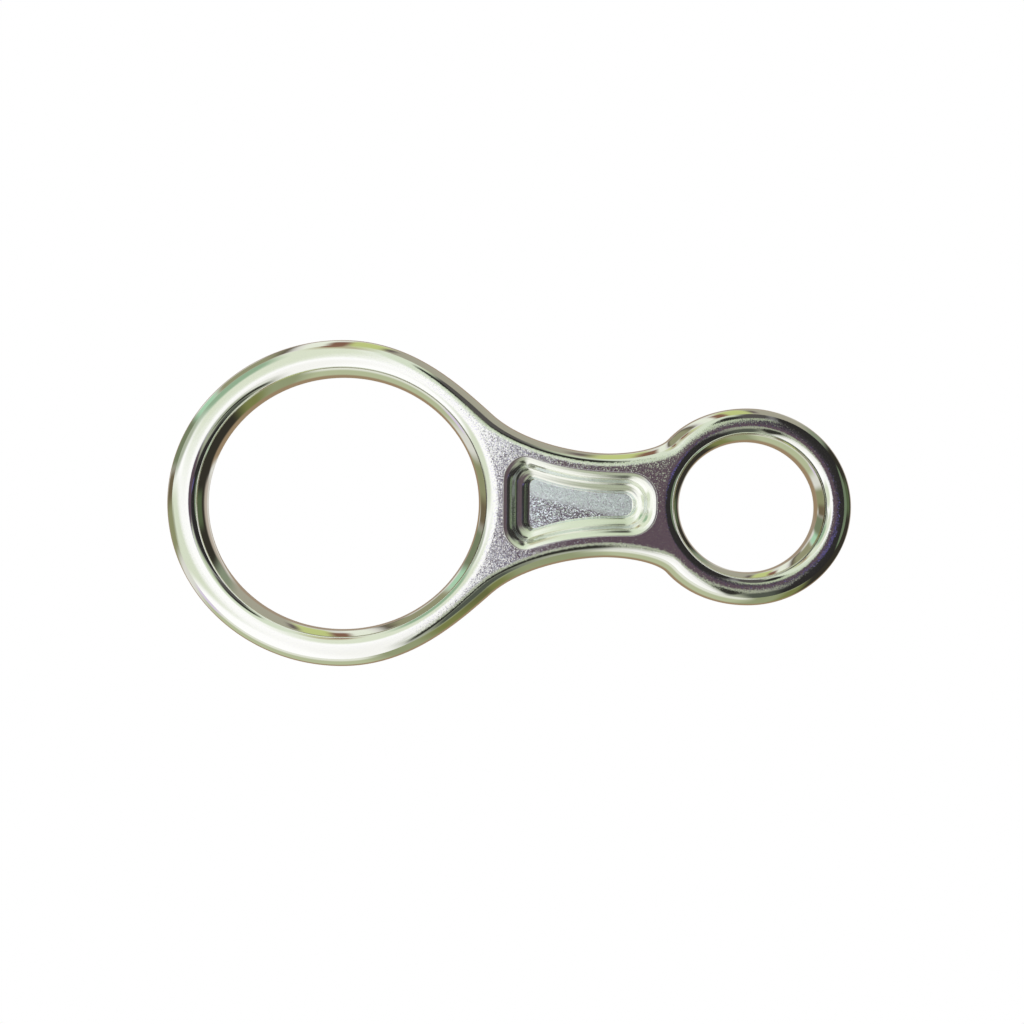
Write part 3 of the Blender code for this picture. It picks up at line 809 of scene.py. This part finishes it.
# Studio: white floor, and soft cards on a low tent and in the distance below the part
studio = {
    "tentSize": (0.15, 0.15, 0.12),
    "tentSegments": 96,
    "tentWhite": (1.0, 1.0, 0.99),
    "farWhite": (0.84, 0.84, 0.80),
    "floorSize": 1.5,
    "backdropRadius": 3.0,
    "backdropSegments": 48,
    # on the tent, seen in plan: middle x and y, half length, half width, all in millimetres, its turn in
    # degrees, the softness of its edge as a share of its size, and its colour
    "tentCards": {
        "pale green left": (-146, -20, 73, 35, -8, 0.7, (0.83, 0.86, 0.77)),
        "olive left": (-164, -17, 18, 27, 0, 0.6, (0.53, 0.54, 0.42)),
        "grey behind left": (-157, 47, 37, 27, 9, 0.65, (0.67, 0.70, 0.62)),
        "pale sage behind": (-74, 93, 53, 78, 5, 0.55, (0.85, 0.88, 0.79)),
        "sage behind": (-118, 98, 36, 40, 19, 0.7, (0.57, 0.68, 0.56)),
        "tan behind": (-35, 144, 32, 26, -5, 0.75, (0.71, 0.69, 0.57)),
        "brown behind left": (-50, 149, 12, 15, 0, 0.5, (0.52, 0.39, 0.32)),
        "yellow green behind left": (-23, 149, 13, 10, 0, 0.5, (0.74, 0.77, 0.55)),
        "brown behind right": (14, 149, 9, 12, 0, 0.5, (0.52, 0.40, 0.33)),
        "yellow green behind right": (46, 149, 13, 10, 0, 0.5, (0.74, 0.77, 0.55)),
        "light grey in front": (1, -90, 53, 85, 17, 0.8, (0.96, 0.96, 0.94)),
        "pale green behind": (27, 81, 42, 89, 16, 0.6, (0.83, 0.87, 0.78)),
        "green edge": (49, 84, 27, 60, 5, 0.75, (0.70, 0.75, 0.63)),
        "dark behind": (60, 116, 24, 36, -21, 0.7, (0.32, 0.31, 0.30)),
        "black behind": (34, 110, 13, 28, 10, 0.6, (0.17, 0.17, 0.16)),
        "grey in front": (46, -73, 44, 97, 8, 0.8, (0.60, 0.62, 0.54)),
        "green in front": (33, -55, 29, 19, -1, 0.6, (0.66, 0.69, 0.60)),
        "dark in front": (82, -116, 31, 42, 11, 0.7, (0.31, 0.33, 0.29)),
        "black in front": (38, -94, 13, 46, -8, 0.6, (0.18, 0.18, 0.16)),
        "dusk right": (76, 18, 28, 46, 0, 0.8, (0.28, 0.25, 0.29)),
        "lavender above": (3, 1, 8, 29, -5, 0.6, (0.63, 0.64, 0.70)),
        "pale strip in front": (9, -83, 7, 27, 9, 0.7, (0.87, 0.88, 0.84)),
        "black right": (470, 22, 400, 400, 0, 0.06, (0.17, 0.165, 0.16)),
        "dark green right": (150, 6, 12, 55, 0, 0.3, (0.42, 0.48, 0.38)),
        "dark above": (34, -2, 38, 25, -9, 0.45, (0.35, 0.29, 0.32)),
        "violet edge": (82, -8, 15, 5, -30, 0.7, (0.38, 0.35, 0.56)),
    },
    # below: middle and half width round the part, from +X towards +Y, and its softness there; then from
    # and to, counted down from straight above, and the softness there, all in degrees; then its colour
    "farCards": {
        "pale front": (-106, 46, 10, 80, 121, 16, (0.87, 0.88, 0.82)),
        "sage front": (-113, 35, 12, 116, 160, 16, (0.69, 0.72, 0.58)),
        "grey front": (-62, 20, 12, 90, 161, 13, (0.56, 0.59, 0.45)),
        "olive front": (-48, 14, 11, 104, 159, 13, (0.46, 0.48, 0.28)),
        "lilac": (-145, 6, 6, 80, 120, 10, (0.82, 0.78, 0.85)),
        "olive left": (-176, 12, 9, 80, 156, 12, (0.54, 0.55, 0.41)),
        "black right": (-1, 47, 12, 80, 157, 12, (0.20, 0.19, 0.16)),
        "green notch": (8, 9, 8, 84, 132, 11, (0.32, 0.37, 0.26)),
        "pale right": (21, 27, 12, 148, 168, 14, (0.70, 0.66, 0.60)),
        "green grey right": (48, 10, 9, 80, 147, 13, (0.51, 0.55, 0.46)),
        "grey right": (67, 17, 9, 91, 155, 10, (0.63, 0.62, 0.55)),
        "mauve line": (80, 2.5, 4, 108, 134, 9, (0.40, 0.36, 0.35)),
        "yellow green": (88, 6.5, 5, 91, 147, 11, (0.73, 0.77, 0.50)),
        "brown": (98, 5, 4, 84, 133, 10, (0.50, 0.37, 0.30)),
        "pale behind": (104, 4, 4, 90, 152, 10, (0.89, 0.91, 0.84)),
        "dark behind": (117, 5.5, 5, 104, 152, 10, (0.38, 0.35, 0.30)),
        "olive behind": (127, 11, 7, 97, 145, 11, (0.56, 0.56, 0.44)),
        "mint": (144, 6, 4, 80, 140, 10, (0.65, 0.80, 0.67)),
        "green grey behind": (157, 9, 6, 80, 155, 12, (0.45, 0.49, 0.38)),
        "brown left": (172, 6, 7, 84, 145, 10, (0.42, 0.38, 0.29)),
        "pale below": (115, 60, 12, 152, 200, 10, (0.60, 0.54, 0.46)),
        "tan below": (-110, 94, 12, 152, 200, 13, (0.58, 0.50, 0.39)),
    },
}


def linearLight(colour):                       # the light that this metal shows as that screen colour
    return tuple(((part + 0.055) / 1.055) ** 2.4 / tint for part, tint in zip(colour, metalLook["tint"]))


def plainWhite(tree):                          # needs no nodes in the tree that it is given
    return 1, 1, 1, 1


def tentColour(tree):
    x, y = tree.parts(tree.add("ShaderNodeTexCoord")["Object"])[:2]
    light = (*linearLight(studio["tentWhite"]), 1)
    for middleX, middleY, halfLength, halfWidth, turned, softness, colour in studio["tentCards"].values():
        way = heading(math.radians(turned))
        acrossX, acrossY = x * millimetres - middleX, y * millimetres - middleY
        forward = (acrossX * way.x + acrossY * way.y) / halfLength
        sideways = (acrossY * way.x - acrossX * way.y) / halfWidth
        away = tree.vector("LENGTH", tree.joined(forward, sideways))
        mask = 1 - away.smooth(1 - softness / 2, 1 + softness / 2)
        light = tree.blend(mask, light, (*linearLight(colour), 1))
    return light


def farColour(tree):
    x, y, z = tree.parts(tree.add("ShaderNodeTexCoord")["Generated"])
    level = tree.vector("LENGTH", tree.joined(x, y))
    fromAbove = tree.maths("ARCTAN2", level, z) * math.degrees(1)
    light = (*linearLight(studio["farWhite"]), 1)
    for middle, halfWidth, softness, top, bottom, ease, colour in studio["farCards"].values():
        mask = fromAbove.smooth(top - ease / 2, top + ease / 2)
        mask = mask * (1 - fromAbove.smooth(bottom - ease / 2, bottom + ease / 2))
        way = heading(math.radians(middle))
        away = tree.maths("ARCCOSINE", (x * way.x + y * way.y) / level) * math.degrees(1)
        mask = mask * (1 - away.smooth(halfWidth - softness / 2, halfWidth + softness / 2))
        light = tree.blend(mask, light, (*linearLight(colour), 1))
    return light


def glowing(name, colourOf):                   # a material that only shines
    material = bpy.data.materials.new(name)
    material.use_nodes = True
    tree = Tree(material.node_tree)
    glow = tree.add("ShaderNodeEmission", {}, {"Color": colourOf(tree)})["Emission"]
    tree.put(material.node_tree.nodes["Material Output"].inputs["Surface"], glow)
    return material


def stagePiece(name, mesh, material, passedBy):    # the kinds of ray in passedBy don't see it
    mesh.materials.append(material)
    made = meshObject(name, mesh)
    for ray in passedBy:
        setattr(made, "visible_" + ray, False)


def ballMesh(name, segments, size, onlyUpper):
    sphere = bmesh.new()
    bmesh.ops.create_uvsphere(sphere, u_segments=segments, v_segments=segments // 2, radius=1)
    if onlyUpper:
        lower = [vert for vert in sphere.verts if vert.co.z < -0.001]      # all below its equator
        bmesh.ops.delete(sphere, geom=lower, context="VERTS")
    sphere.transform(Matrix.Diagonal((*size, 1)))
    mesh = bpy.data.meshes.new(name)
    sphere.to_mesh(mesh)
    sphere.free()
    return mesh


def whiteStage():                              # the floor, and what a low view sees past it
    size = studio["floorSize"]
    floor = bpy.data.meshes.new("floor")
    corners = [(-size, -size, 0), (size, -size, 0), (size, size, 0), (-size, size, 0)]
    floor.from_pydata(corners, [], [(0, 1, 2, 3)])
    white = glowing("whiteFloor", plainWhite)
    stagePiece("floor", floor, white, ["glossy"])
    backdrop = ballMesh("backdrop", studio["backdropSegments"], [studio["backdropRadius"]] * 3, False)
    stagePiece("backdrop", backdrop, white, ["glossy", "diffuse", "shadow"])


def lightTent():
    tent = ballMesh("lightTent", studio["tentSegments"], studio["tentSize"], True)
    stagePiece("lightTent", tent, glowing("tentLight", tentColour), ["camera", "diffuse", "shadow"])


def farLight():
    world = bpy.data.worlds.new("studio")
    bpy.context.scene.world = world
    world.use_nodes = True
    tree = Tree(world.node_tree)
    tree.put(world.node_tree.nodes["Background"].inputs["Color"], farColour(tree))


whiteStage()
lightTent()
farLight()
print("studio made")

# Camera
cameraSetting = {
    "distance": 0.320,              # above the middle plane of the part
    "lens": 60.9,
    "tilt": math.radians(2.5),      # the camera leans towards -Y
    "lean": math.radians(0.5),
    "roll": math.radians(0.588),
    "offset": (-0.00044, 0.001387),
    "nearest": 0.01,
}
camera = bpy.data.objects.new("camera", bpy.data.cameras.new("camera"))
bpy.context.scene.collection.objects.link(camera)
camera.data.lens = cameraSetting["lens"]
turn = (Matrix.Rotation(cameraSetting["lean"], 4, "Y") @ Matrix.Rotation(-cameraSetting["tilt"], 4, "X")
        @ Matrix.Rotation(-cameraSetting["roll"], 4, "Z"))
back = turn.transposed()
eye = Vector((-cameraSetting["offset"][0], -cameraSetting["offset"][1], cameraSetting["distance"]))
camera.matrix_world = Matrix.Translation(back @ eye + Vector((0, 0, halfThickness))) @ back
camera.data.clip_start = cameraSetting["nearest"]
bpy.context.scene.camera = camera
bpy.context.scene.view_settings.view_transform = "Standard"        # colours as the cards give them
